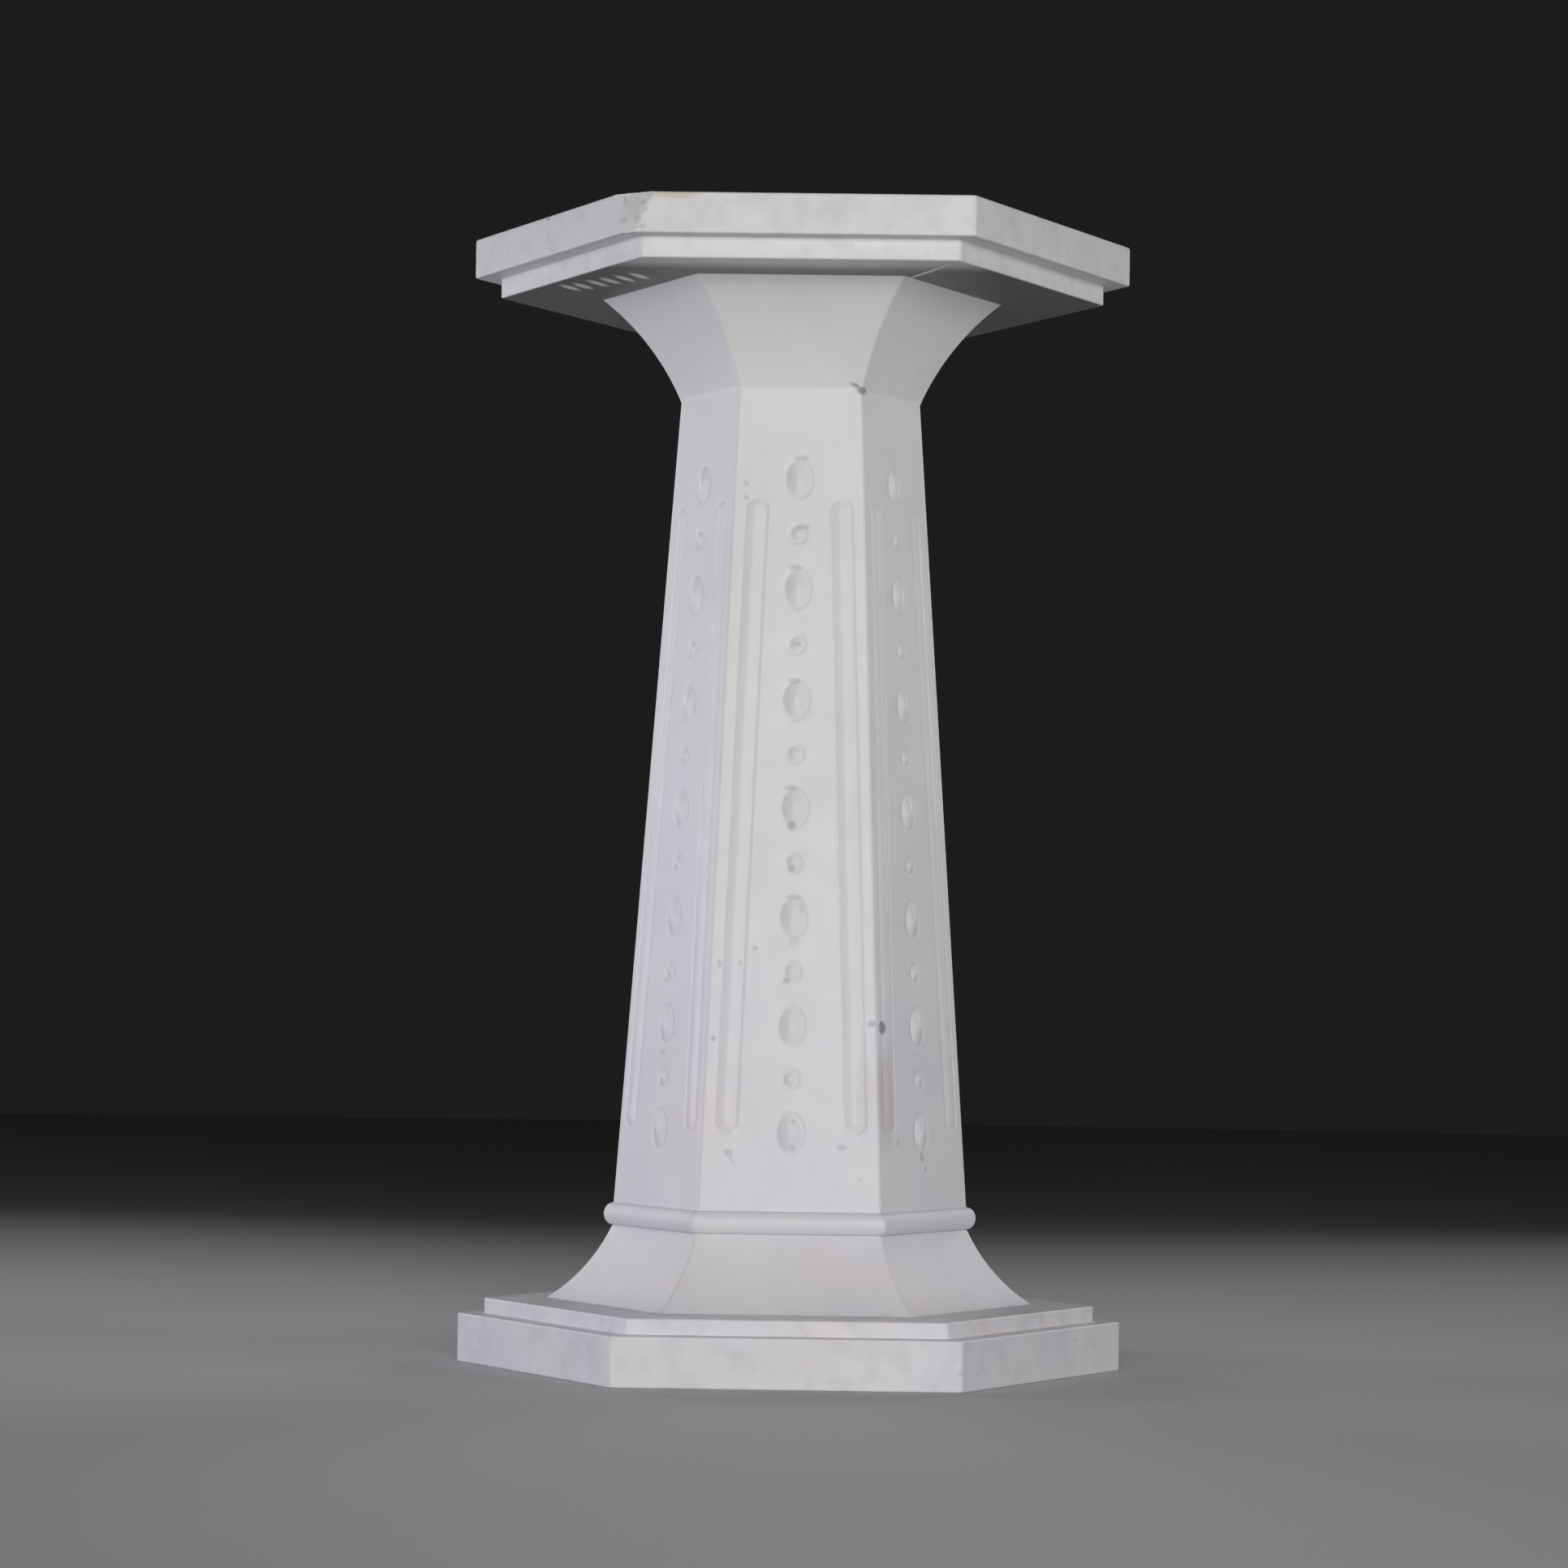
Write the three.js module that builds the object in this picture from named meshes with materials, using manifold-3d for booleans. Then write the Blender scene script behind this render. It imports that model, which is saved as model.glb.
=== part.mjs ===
// A six-sided column pedestal carved from one block of pale stone: a plinth, a hollow flare, a bead
// moulding, a tapering shaft, a hollow cove and a table. Each face of the shaft has a reeded flute near
// both of its edges and a string of long and round beads up its middle. Reeds and beads lie in shallow
// troughs and stand a little proud of the face.
// Millimetres, +Z up, standing on z = 0. Two corners lie on the X axis and one face looks towards -Y.
import * as THREE from 'three';
import { mergeGeometries, mergeVertices } from 'three/addons/utils/BufferGeometryUtils.js';
import Module from 'manifold-3d';

const wasm = await Module();
wasm.setup();

// Heights of the parts of the outline, from the floor up. They add up to 750.
const PLINTH_HEIGHT = 32.3;
const BASE_FILLET_HEIGHT = 10.1;
const FLARE_HEIGHT = 48;
const QUIRK_HEIGHT = 1.5;
const ASTRAGAL_HEIGHT = 14.8;
const SHAFT_HEIGHT = 535;
const COVE_HEIGHT = 68.9;
const TABLE_FILLET_HEIGHT = 13.3;
const TABLE_HEIGHT = 26.1;

// Widths, each from the middle of the column to a corner of its six-sided section.
const TABLE_REACH = 220;
const FILLET_REACH = 202.5;
const FLARE_FOOT_REACH = 162.5;
const FLARE_TOP_REACH = 119;
const ASTRAGAL_REACH = 124.1;
const SHAFT_FOOT_REACH = 117.7;
const SHAFT_NECK_REACH = 80.4;
const COVE_TOP_REACH = 134.3;

// Radii of the two hollows, and how far the sharp outer edges are eased.
const FLARE_RADIUS = 113.4;
const COVE_RADIUS = 171.3;
const EASED_EDGE = 1.2;

// The reeded flutes: a shallow trough with round ends and a rod lying in it, beside each edge.
const FLUTE_WIDTH = 18.6;
const FLUTE_DEPTH = 0.8;
const REED_WIDTH = 13;
const REED_PROUD = 0.6;
// The rod's round side is drawn up to this angle from its foot, with a flat crest between the two sides.
const REED_ROUND = 0.4 * Math.PI;
const FLUTE_FROM_EDGE = 15.3;
const FLUTE_BOTTOM = 155;
const FLUTE_TOP = 572;

// The bead string, as sizes across and along the face. A groove of the given depth is cut round each bead,
// and its crown stands proud of the face.
const LONG_BEAD = { width: 16, length: 24, depth: 1.3, proud: 2, sides: 12, rows: 3 };
const ROUND_BEAD = { width: 9, length: 10, depth: 0.8, proud: 1, sides: 8, rows: 2 };
const GROOVE_WIDTH = 3.4;
const LOWEST_LONG_BEAD = 157;
const LONG_BEAD_PITCH = 70.6;
// How far each long bead sits from an even spacing, lowest first: they were set out by hand.
const LONG_BEAD_DRIFT = [0, -2.1, -2.2, -1.8, -1.9, 0, 2.4];

// Old damage: a corner of the table knocked off, a chip in an edge at the neck, and one in the outer
// groove of a flute. Angles are round the column, and the faces are counted from the one towards -Y.
const TABLE_CORNER_LOSS = 7;
const DAMAGED_EDGE_ANGLE = -2 * Math.PI / 3;
const NECK_CHIP = { angle: -Math.PI / 3, aboveNeck: 4, size: [6.5, 5, 4] };
const FLUTE_CHIP = { turns: 1, height: 227, fromEdge: 9.5, size: [5, 6.5, 3] };

// Counts of flat facets for the curved stretches.
const SIDES = 6;
const HOLLOW_STEPS = 9;
const ASTRAGAL_STEPS = 7;
const FLUTE_END_STEPS = 4;
const REED_STEPS = 2;
const CHIP_SIDES = 7;
const CHIP_ROWS = 4;

// Corners of neighbouring surfaces that lie this close are the same corner.
const WELD = 0.002;

const FLAT_TO_CORNER = Math.cos(Math.PI / SIDES);
const SHAFT_BOTTOM = PLINTH_HEIGHT + BASE_FILLET_HEIGHT + FLARE_HEIGHT + QUIRK_HEIGHT + ASTRAGAL_HEIGHT;
const SHAFT_TOP = SHAFT_BOTTOM + SHAFT_HEIGHT;
const COLUMN_HEIGHT = SHAFT_TOP + COVE_HEIGHT + TABLE_FILLET_HEIGHT + TABLE_HEIGHT;

// Lean of a face of the shaft from upright, and of its edges within the face.
const SHAFT_SHRINK = SHAFT_FOOT_REACH - SHAFT_NECK_REACH;
const FACE_LEAN = Math.atan2(SHAFT_SHRINK * FLAT_TO_CORNER, SHAFT_HEIGHT);
const EDGE_LEAN = Math.atan2(SHAFT_SHRINK * Math.sin(Math.PI / SIDES), SHAFT_HEIGHT / Math.cos(FACE_LEAN));

const point = (reach, height) => new THREE.Vector2(reach, height);

// Points of an arc that is hollow towards the outside, from a lower point to a higher one.
function hollow(from, to, radius) {
  const middle = from.clone().add(to).multiplyScalar(0.5);
  const chord = to.clone().sub(from);
  const outward = new THREE.Vector2(chord.y, -chord.x).normalize();
  const back = Math.sqrt(radius ** 2 - chord.lengthSq() / 4);
  const centre = middle.addScaledVector(outward, back);
  const start = Math.atan2(from.y - centre.y, from.x - centre.x);
  const end = Math.atan2(to.y - centre.y, to.x - centre.x);
  const turn = THREE.MathUtils.euclideanModulo(end - start + Math.PI, 2 * Math.PI) - Math.PI;
  const arc = new THREE.EllipseCurve(centre.x, centre.y, radius, radius, start, start + turn, turn < 0);
  return arc.getPoints(HOLLOW_STEPS);
}

// Half-round swelling between two heights, standing out from the wall to the given reach.
function swelling(bottom, top, wallReach, outerReach) {
  const middle = (bottom + top) / 2;
  const half = (top - bottom) / 2;
  const arc = new THREE.EllipseCurve(
    wallReach, middle, outerReach - wallReach, half, -Math.PI / 2, Math.PI / 2);
  return arc.getPoints(ASTRAGAL_STEPS);
}

// A square-edged band with both outer edges eased.
function band(bottom, top, reach) {
  return [
    point(reach - EASED_EDGE, bottom),
    point(reach, bottom + EASED_EDGE),
    point(reach, top - EASED_EDGE),
    point(reach - EASED_EDGE, top),
  ];
}

// Half of the section below the shaft, from the middle of the underside to the shaft's foot.
function footOutline() {
  const flareBottom = PLINTH_HEIGHT + BASE_FILLET_HEIGHT;
  const flareTop = flareBottom + FLARE_HEIGHT;
  const astragalBottom = flareTop + QUIRK_HEIGHT;
  return [
    point(0, 0),
    ...band(0, PLINTH_HEIGHT, TABLE_REACH),
    ...band(PLINTH_HEIGHT, flareBottom, FILLET_REACH).slice(1),
    ...hollow(point(FLARE_FOOT_REACH, flareBottom), point(FLARE_TOP_REACH, flareTop), FLARE_RADIUS),
    ...swelling(astragalBottom, SHAFT_BOTTOM, SHAFT_FOOT_REACH, ASTRAGAL_REACH),
  ];
}

// Half of the section above the shaft, from its neck to the middle of the table.
function headOutline() {
  const coveTop = SHAFT_TOP + COVE_HEIGHT;
  const tableBottom = coveTop + TABLE_FILLET_HEIGHT;
  return [
    ...hollow(point(SHAFT_NECK_REACH, SHAFT_TOP), point(COVE_TOP_REACH, coveTop), COVE_RADIUS),
    ...band(coveTop, tableBottom, FILLET_REACH).slice(0, 3),
    ...band(tableBottom, COLUMN_HEIGHT, TABLE_REACH),
    point(0, COLUMN_HEIGHT),
  ];
}

// An outline swept round six flat sides, with corners on the X axis.
function sweep(outline) {
  return new THREE.LatheGeometry(outline, SIDES, Math.PI / SIDES).rotateX(Math.PI / 2);
}

// Shapes for one face of the shaft are made with x across the face, y up it from the shaft's foot and z
// out of the stone. This sets such a shape on the face that is the given number of turns round.
function setOnFace(shape, turns) {
  const angle = -Math.PI / 2 + turns * 2 * Math.PI / SIDES;
  const plan = new THREE.Vector3(Math.cos(angle), Math.sin(angle), 0);
  const across = new THREE.Vector3(-plan.y, plan.x, 0);
  const up = new THREE.Vector3(0, 0, Math.cos(FACE_LEAN)).addScaledVector(plan, -Math.sin(FACE_LEAN));
  const out = new THREE.Vector3(0, 0, Math.sin(FACE_LEAN)).addScaledVector(plan, Math.cos(FACE_LEAN));
  const foot = plan.clone().multiplyScalar(SHAFT_FOOT_REACH * FLAT_TO_CORNER).setZ(SHAFT_BOTTOM);
  const placing = new THREE.Matrix4().makeBasis(across, up, out).setPosition(foot);
  return shape.clone().applyMatrix4(placing);
}

// Distance up the sloping face of a place at the given height.
const upFace = (height) => (height - SHAFT_BOTTOM) / Math.cos(FACE_LEAN);

// Half the width of a face of the shaft at the given height.
function halfFace(height) {
  const share = (height - SHAFT_BOTTOM) / SHAFT_HEIGHT;
  return THREE.MathUtils.lerp(SHAFT_FOOT_REACH, SHAFT_NECK_REACH, share) / 2;
}

// Points round an oval at the given height over the face, anticlockwise.
function ovalRing(halfWidth, halfLength, sides, middle, lift) {
  return Array.from({ length: sides }, (_, count) => {
    const angle = (count + 0.5) * 2 * Math.PI / sides;
    return new THREE.Vector3(
      halfWidth * Math.cos(angle), middle + halfLength * Math.sin(angle), lift);
  });
}

// Points round a slot with round ends that leans with the edge on its side of the face.
function slotRing(side, halfWidth, lift) {
  const middle = (FLUTE_BOTTOM + FLUTE_TOP) / 2;
  const halfStraight = (upFace(FLUTE_TOP) - upFace(FLUTE_BOTTOM) - FLUTE_WIDTH) / 2;
  const ends = [{ from: 0, y: halfStraight }, { from: Math.PI, y: -halfStraight }];
  const ring = ends.flatMap(({ from, y }) =>
    Array.from({ length: FLUTE_END_STEPS + 1 }, (_, count) => {
      const angle = from + count * Math.PI / FLUTE_END_STEPS;
      return new THREE.Vector3(halfWidth * Math.cos(angle), y + halfWidth * Math.sin(angle), lift);
    }));
  const place = new THREE.Matrix4().makeRotationZ(side * EDGE_LEAN);
  place.setPosition(side * (halfFace(middle) - FLUTE_FROM_EDGE), upFace(middle), 0);
  return ring.map((corner) => corner.applyMatrix4(place));
}

// The rings of a bead: the rim of its groove, then the bead itself from its foot almost to its crown.
function beadRings(kind, height) {
  const middle = upFace(height);
  const rings = [ovalRing(
    kind.width / 2 + GROOVE_WIDTH, kind.length / 2 + GROOVE_WIDTH, kind.sides, middle, 0)];
  for (let row = 0; row < kind.rows; row += 1) {
    const angle = row * Math.PI / 2 / kind.rows;
    const share = Math.cos(angle);
    const lift = (kind.depth + kind.proud) * Math.sin(angle) - kind.depth;
    rings.push(ovalRing(share * kind.width / 2, share * kind.length / 2, kind.sides, middle, lift));
  }
  return rings;
}

// The rings of a reeded flute: the rim of the trough, then the reed from its foot to its crest.
function fluteRings(side) {
  const rings = [slotRing(side, FLUTE_WIDTH / 2, 0)];
  for (let row = 0; row <= REED_STEPS; row += 1) {
    const angle = REED_ROUND * row / REED_STEPS;
    const lift = (FLUTE_DEPTH + REED_PROUD) * Math.sin(angle) - FLUTE_DEPTH;
    rings.push(slotRing(side, Math.cos(angle) * REED_WIDTH / 2, lift));
  }
  return rings;
}

// Corners of the triangles between rings that lie one inside the next, and over the last one.
function nested(rings, crown) {
  const corners = [];
  rings.forEach((outer, row) => {
    const inner = rings[row + 1];
    outer.forEach((here, count) => {
      const next = (count + 1) % outer.length;
      if (inner) {
        corners.push(here, outer[next], inner[next], here, inner[next], inner[count]);
      } else if (crown) {
        corners.push(here, outer[next], crown);
      } else if (count > 0 && next > 0) {
        corners.push(outer[0], here, outer[next]);
      }
    });
  });
  return new THREE.BufferGeometry().setFromPoints(corners);
}

// The string as pairs of a kind of bead and its height: long beads, with a round one between each two.
function beadString() {
  const longHeights = LONG_BEAD_DRIFT.map((drift, count) =>
    LOWEST_LONG_BEAD + count * LONG_BEAD_PITCH + drift);
  const beads = longHeights.map((height) => [LONG_BEAD, height]);
  for (let count = 1; count < longHeights.length; count += 1) {
    beads.push([ROUND_BEAD, (longHeights[count - 1] + longHeights[count]) / 2]);
  }
  return beads;
}

// The surface of one face of the shaft: a flat panel with openings, each filled by its carving.
function carvedFace() {
  const corners = [[SHAFT_BOTTOM, -1], [SHAFT_BOTTOM, 1], [SHAFT_TOP, 1], [SHAFT_TOP, -1]];
  const panel = new THREE.Shape(corners.map(([height, side]) =>
    new THREE.Vector2(side * halfFace(height), upFace(height))));
  const carvings = [-1, 1].map((side) => ({ rings: fluteRings(side) }));
  for (const [kind, height] of beadString()) {
    const crown = new THREE.Vector3(0, upFace(height), kind.proud);
    carvings.push({ rings: beadRings(kind, height), crown });
  }
  panel.holes = carvings.map(({ rings }) =>
    new THREE.Path(rings[0].map((corner) => new THREE.Vector2(corner.x, corner.y))));
  const flat = new THREE.ShapeGeometry(panel).toNonIndexed();
  return mergeGeometries([bare(flat), ...carvings.map(({ rings, crown }) => nested(rings, crown))]);
}

// A rounded lump with the given half sizes, its poles along the last of them.
function lump(size) {
  return new THREE.SphereGeometry(1, CHIP_SIDES, CHIP_ROWS).rotateX(Math.PI / 2).scale(...size);
}

// Lumps that stand for the stone that is lost: the table's corner, a chip at the neck and one in a flute.
function losses() {
  const wornCorner = new THREE.BoxGeometry(2 * TABLE_CORNER_LOSS, TABLE_REACH, 2 * TABLE_HEIGHT);
  wornCorner.translate(TABLE_REACH, 0, COLUMN_HEIGHT).rotateZ(DAMAGED_EDGE_ANGLE);
  const neckChip = lump(NECK_CHIP.size);
  neckChip.translate(SHAFT_NECK_REACH, 0, SHAFT_TOP + NECK_CHIP.aboveNeck).rotateZ(NECK_CHIP.angle);
  const across = FLUTE_CHIP.fromEdge - halfFace(FLUTE_CHIP.height);
  const fluteChip = lump(FLUTE_CHIP.size).translate(across, upFace(FLUTE_CHIP.height), 0);
  return [wornCorner, neckChip, setOnFace(fluteChip, FLUTE_CHIP.turns)];
}

// A geometry with nothing but its corners.
function bare(shape) {
  const corners = shape.index ? shape.toNonIndexed() : shape.clone();
  corners.deleteAttribute('normal');
  corners.deleteAttribute('uv');
  return corners;
}

// A closed shape as a solid that can be cut. Corners closer than the weld distance become one.
function solid(shape) {
  const corners = bare(shape);
  const places = corners.attributes.position;
  for (let count = 0; count < places.array.length; count += 1) {
    places.array[count] = Math.round(places.array[count] / WELD) * WELD;
  }
  const merged = mergeVertices(corners, WELD / 2);
  return new wasm.Manifold(new wasm.Mesh({
    numProp: 3,
    vertProperties: merged.attributes.position.array,
    triVerts: Uint32Array.from(merged.index.array),
  }));
}

// The solid's surface as a plain geometry.
function surface(body) {
  const mesh = body.getMesh();
  const geometry = new THREE.BufferGeometry();
  geometry.setAttribute('position', new THREE.BufferAttribute(Float32Array.from(mesh.vertProperties), 3));
  geometry.setIndex(new THREE.BufferAttribute(Uint32Array.from(mesh.triVerts), 1));
  return geometry;
}

// The whole pedestal: foot, six carved faces and head as one closed surface, less what is lost.
function pedestal() {
  const face = carvedFace();
  const faces = Array.from({ length: SIDES }, (_, turns) => setOnFace(face, turns));
  const whole = mergeGeometries([bare(sweep(footOutline())), ...faces, bare(sweep(headOutline()))]);
  let body = solid(whole);
  for (const loss of losses()) {
    body = body.subtract(solid(loss));
  }
  return surface(body);
}

const stone = new THREE.MeshStandardMaterial({ color: 0xdedcd6, roughness: 0.55, metalness: 0 });

const column = new THREE.Mesh(pedestal(), stone);
column.name = 'carved_pedestal';

const group = new THREE.Group();
group.add(column);
export default group;
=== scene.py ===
"""A hexagonal pedestal of white marble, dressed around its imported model.

The whole pedestal is one piece of stone: a plinth, a hollow flare, a bead moulding, a tapering shaft, a
hollow cove and a table. Each face of the shaft has a reeded flute near both of its edges and a string of
long and round beads up its middle. Lengths are in metres, +Z is up, and one face looks towards -Y.
"""

import math
from contextlib import contextmanager
from itertools import pairwise
from random import Random
from typing import NamedTuple

import bmesh
import bpy
from bpy.props import FloatProperty, FloatVectorProperty, IntProperty, PointerProperty
from mathutils import Matrix, Vector


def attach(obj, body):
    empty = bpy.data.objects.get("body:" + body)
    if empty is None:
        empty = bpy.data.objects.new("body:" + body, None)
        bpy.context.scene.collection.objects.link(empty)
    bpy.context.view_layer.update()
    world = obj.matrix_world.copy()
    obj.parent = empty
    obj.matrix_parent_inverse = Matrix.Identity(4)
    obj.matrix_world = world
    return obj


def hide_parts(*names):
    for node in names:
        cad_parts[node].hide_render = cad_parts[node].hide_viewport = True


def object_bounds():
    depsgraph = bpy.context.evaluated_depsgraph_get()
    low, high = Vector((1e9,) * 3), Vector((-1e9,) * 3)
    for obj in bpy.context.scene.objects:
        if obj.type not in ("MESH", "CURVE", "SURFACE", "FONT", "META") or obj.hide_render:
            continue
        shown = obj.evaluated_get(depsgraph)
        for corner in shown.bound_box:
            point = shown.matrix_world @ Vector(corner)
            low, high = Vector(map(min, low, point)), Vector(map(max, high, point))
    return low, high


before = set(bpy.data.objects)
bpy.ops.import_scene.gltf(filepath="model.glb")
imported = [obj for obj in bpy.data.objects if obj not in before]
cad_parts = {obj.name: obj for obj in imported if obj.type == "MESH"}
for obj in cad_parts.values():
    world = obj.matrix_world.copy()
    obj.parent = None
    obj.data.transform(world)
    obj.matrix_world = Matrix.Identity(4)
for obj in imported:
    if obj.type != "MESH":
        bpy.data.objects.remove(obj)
CAD_LOW, CAD_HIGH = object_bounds()

bl_info = {
    "name": "Marble column pedestal",
    "version": (1, 0, 0),
    "blender": (4, 5, 0),
    "location": "View3D > Sidebar > Pedestal",
    "description": "Carves a hexagonal marble pedestal and lights it in a plain studio",
    "category": "Add Mesh",
}

BODY = "root"
NODE = "carved_pedestal"

MILLIMETRE = 0.001
SIDES = 6
TURN = math.tau / SIDES
FLAT_TO_CORNER = math.cos(TURN / 2)

TABLE_REACH = CAD_HIGH.x
COLUMN_HEIGHT = CAD_HIGH.z


def length(name, description, default):
    """A property for a length of the stone. The default is given in millimetres."""
    return FloatProperty(
        name=name, description=description, default=default * MILLIMETRE, min=0, unit="LENGTH", precision=4)


def count(name, description, default):
    """A property for a number of flat steps."""
    return IntProperty(name=name, description=description, default=default, min=1)


def share(name, description, default):
    """A property between nothing and all."""
    return FloatProperty(name=name, description=description, default=default, min=0, max=1, subtype="FACTOR")


def colour(name, description, default):
    """A property for a colour, in linear light."""
    return FloatVectorProperty(
        name=name, description=description, default=default, min=0, max=1, size=3, subtype="COLOR")


def power(name, description, default):
    """A property for the power of a lamp."""
    return FloatProperty(name=name, description=description, default=default, min=0, unit="POWER")


def turning(name, description, default):
    """A property for an angle. The default is given in degrees."""
    return FloatProperty(name=name, description=description, default=math.radians(default), subtype="ANGLE")


class OutlineSizes(bpy.types.PropertyGroup):
    """Sizes of the column's outline. Reaches run from its middle to a corner."""

    plinth_height: length("Plinth height", "Height of the slab that stands on the floor", 32.3)
    base_fillet_height: length("Base fillet height", "Height of the step on the plinth", 10.1)
    flare_height: length("Flare height", "Height of the hollow below the bead moulding", 48)
    quirk_height: length("Quirk height", "Height of the fine step under the bead moulding", 1.5)
    astragal_height: length("Moulding height", "Height of the bead moulding", 14.8)
    cove_height: length("Cove height", "Height of the hollow under the table", 68.9)
    table_fillet_height: length("Table fillet height", "Height of the step under the table", 13.3)
    table_height: length("Table height", "Thickness of the table", 26.1)
    fillet_reach: length("Fillet reach", "Reach of both steps", 202.5)
    flare_foot_reach: length("Flare foot reach", "Reach of the flare on the base fillet", 162.5)
    flare_top_reach: length("Flare top reach", "Reach of the flare at the moulding", 119)
    astragal_reach: length("Moulding reach", "Reach of the bead moulding", 124.1)
    shaft_foot_reach: length("Shaft foot reach", "Reach of the shaft above the moulding", 117.7)
    shaft_neck_reach: length("Shaft neck reach", "Reach of the shaft under the cove", 80.4)
    cove_top_reach: length("Cove top reach", "Reach of the cove under the table", 134.3)
    flare_radius: length("Flare radius", "Radius of the flare's hollow", 113.4)
    cove_radius: length("Cove radius", "Radius of the cove's hollow", 171.3)
    edge_radius: length("Edge radius", "Rounding of the slabs' edges", 1.4)
    arris_width: length("Arris width", "How far the upright edges are rubbed down on each side", 1.7)


class CarvingSizes(bpy.types.PropertyGroup):
    """Sizes of the carving on each face of the shaft."""

    flute_width: length("Flute width", "Width of a flute", 18.6)
    flute_depth: length("Flute depth", "Depth of a flute beside its reed", 0.45)
    flute_from_edge: length("Flute from edge", "From the shaft's edge to the middle of the flute", 15.3)
    flute_bottom: length("Flute bottom", "Height of the flutes' lower ends", 155)
    flute_top: length("Flute top", "Height of the flutes' upper ends", 572)
    reed_width: length("Reed width", "Width of the rod that lies in a flute", 13)
    reed_proud: length("Reed proud", "How far the rod stands out of the face", 0.55)
    long_bead_width: length("Long bead width", "Width of a long bead", 16)
    long_bead_length: length("Long bead length", "Length of a long bead", 24)
    round_bead_width: length("Round bead width", "Width of a round bead", 9)
    round_bead_length: length("Round bead length", "Length of a round bead", 10)
    groove_width: length("Groove width", "Width of the groove round a bead", 3.4)
    long_bead_depth: length("Long bead groove", "Depth of the groove round a long bead", 0.45)
    long_bead_proud: length("Long bead proud", "How far a long bead stands out of the face", 2.1)
    round_bead_depth: length("Round bead groove", "Depth of the groove round a round bead", 0.5)
    round_bead_proud: length("Round bead proud", "How far a round bead stands out of the face", 0.9)
    lowest_bead: length("Lowest bead", "Height of the middle of the lowest long bead", 157)
    bead_pitch: length("Bead pitch", "From one long bead to the next", 70.6)
    margin: length("Margin", "Flat border kept round each carving", 1.2)


class WearSizes(bpy.types.PropertyGroup):
    """Sizes of the old damage: the broken table corner, and the chips."""

    corner_block: length("Corner block", "Half the thickness of the block that cuts the break", 13)
    corner_bite: length("Corner bite", "How far the break cuts in at half the table's height", 5.5)
    nick_size: length("Nick size", "Half the length of an ordinary nick in an edge", 2.2)
    nick_count: count("Nicks", "Number of nicks round the slabs' edges, less those near a chip", 34)


class StoneLook(bpy.types.PropertyGroup):
    """Colours and finish of the marble."""

    marble: colour("Marble", "Colour of the clean stone", (0.76, 0.755, 0.745))
    shade: colour("Shade", "Colour of the stone's greyer clouds", (0.60, 0.60, 0.60))
    rose: colour("Rose", "Faint rosy cast in the lower half", (0.76, 0.70, 0.72))
    lilac: colour("Lilac", "Faint lilac cast in the lower half", (0.70, 0.69, 0.79))
    # This dark colour paints real dirt and mottling. It also paints painted shade under the table, in the
    # carving's hollows and at the ends of the beads and flutes.
    soot_and_shade: colour("Soot", "Colour of the dirt in hollows and pits and under the table", (0.20, 0.195, 0.19))
    rust: colour("Rust", "Colour of the brown stain", (0.46, 0.36, 0.28))
    lichen: colour("Lichen", "Colour of the yellow stain on the table's edge", (0.55, 0.50, 0.30))
    # This pale colour also paints one painted highlight on the front face.
    chalk_and_highlight: colour("Chalk", "Colour of the pale marks under the table", (0.92, 0.92, 0.90))
    clouds: share("Clouds", "Strength of the grey clouds", 0.22)
    tints: share("Tints", "Strength of the rosy and lilac casts", 0.62)
    # The dirt in the carving is partly painted shade: it darkens with the depth of each hollow.
    grime_and_shade: share("Grime", "Strength of the dirt in the carving", 0.06)
    # The dirt under the table is mostly painted shade, darker than the floor's bounce would leave it.
    underside_shade_and_dirt: share("Underside dirt", "Strength of the dirt under the table", 0.97)
    roughness: share("Roughness", "Roughness of the rubbed surface", 0.5)
    mottle: share("Mottle", "Strength of the fine grey mottling of both slabs", 0.12)
    mottle_size: length("Mottle size", "Size of the mottling", 15)
    cloud_size: length("Cloud size", "Size of the grey clouds", 55)
    tint_size: length("Tint size", "Size of the rosy and lilac patches", 90)
    swell_depth: length("Swell depth", "Depth of the hand-rubbed unevenness", 0.35)
    swell_size: length("Swell size", "Size of the hand-rubbed unevenness", 16)
    grain_depth: length("Grain depth", "Depth of the fine grain", 0.03)
    grain_size: length("Grain size", "Size of the fine grain", 1.6)


class StageSettings(bpy.types.PropertyGroup):
    """The studio: a pale floor, soft lamps round it and the camera."""

    floor: colour("Floor", "Colour of the floor", (0.48, 0.48, 0.48))
    dusk: colour("Surroundings", "Colour of the dim room", (0.012, 0.012, 0.012))
    floor_radius: length("Floor radius", "Radius of the floor", 6000)
    lamp_distance: length("Lamp distance", "From the pedestal's middle to each lamp", 2600)
    lamp_size: length("Lamp size", "Width of each lamp", 1100)
    aim_height: length("Aim height", "Height that the lamps are aimed at", 430)
    lamp_spread: turning("Lamp spread", "Width of each lamp's beam", 75)
    left_power: power("Left power", "Power of the lamp on the left", 5.6)
    front_power: power("Front power", "Power of the lamp at the front", 7.55)
    right_power: power("Right power", "Power of the lamp on the right", 1.75)
    back_power: power("Back power", "Power of each lamp behind", 2.4)
    top_power: power("Top power", "Power of the lamp overhead", 1.3)
    left_tint: colour("Left tint", "Colour of the lamp on the left", (0.86, 0.84, 1.0))
    lens: FloatProperty(name="Lens", description="Focal length of the camera, in millimetres", default=102.47)
    camera_place: FloatVectorProperty(
        name="Camera place", description="Where the camera stands", default=(0.02413, -2.97764, 0.24129),
        size=3, subtype="TRANSLATION", unit="LENGTH")
    heading: turning("Heading", "How far the camera is turned to its left", 0.612)
    pitch: turning("Pitch", "How far the camera looks up", 2.795)
    roll: turning("Roll", "How far the camera is tilted about its own axis", 0.793)


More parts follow.
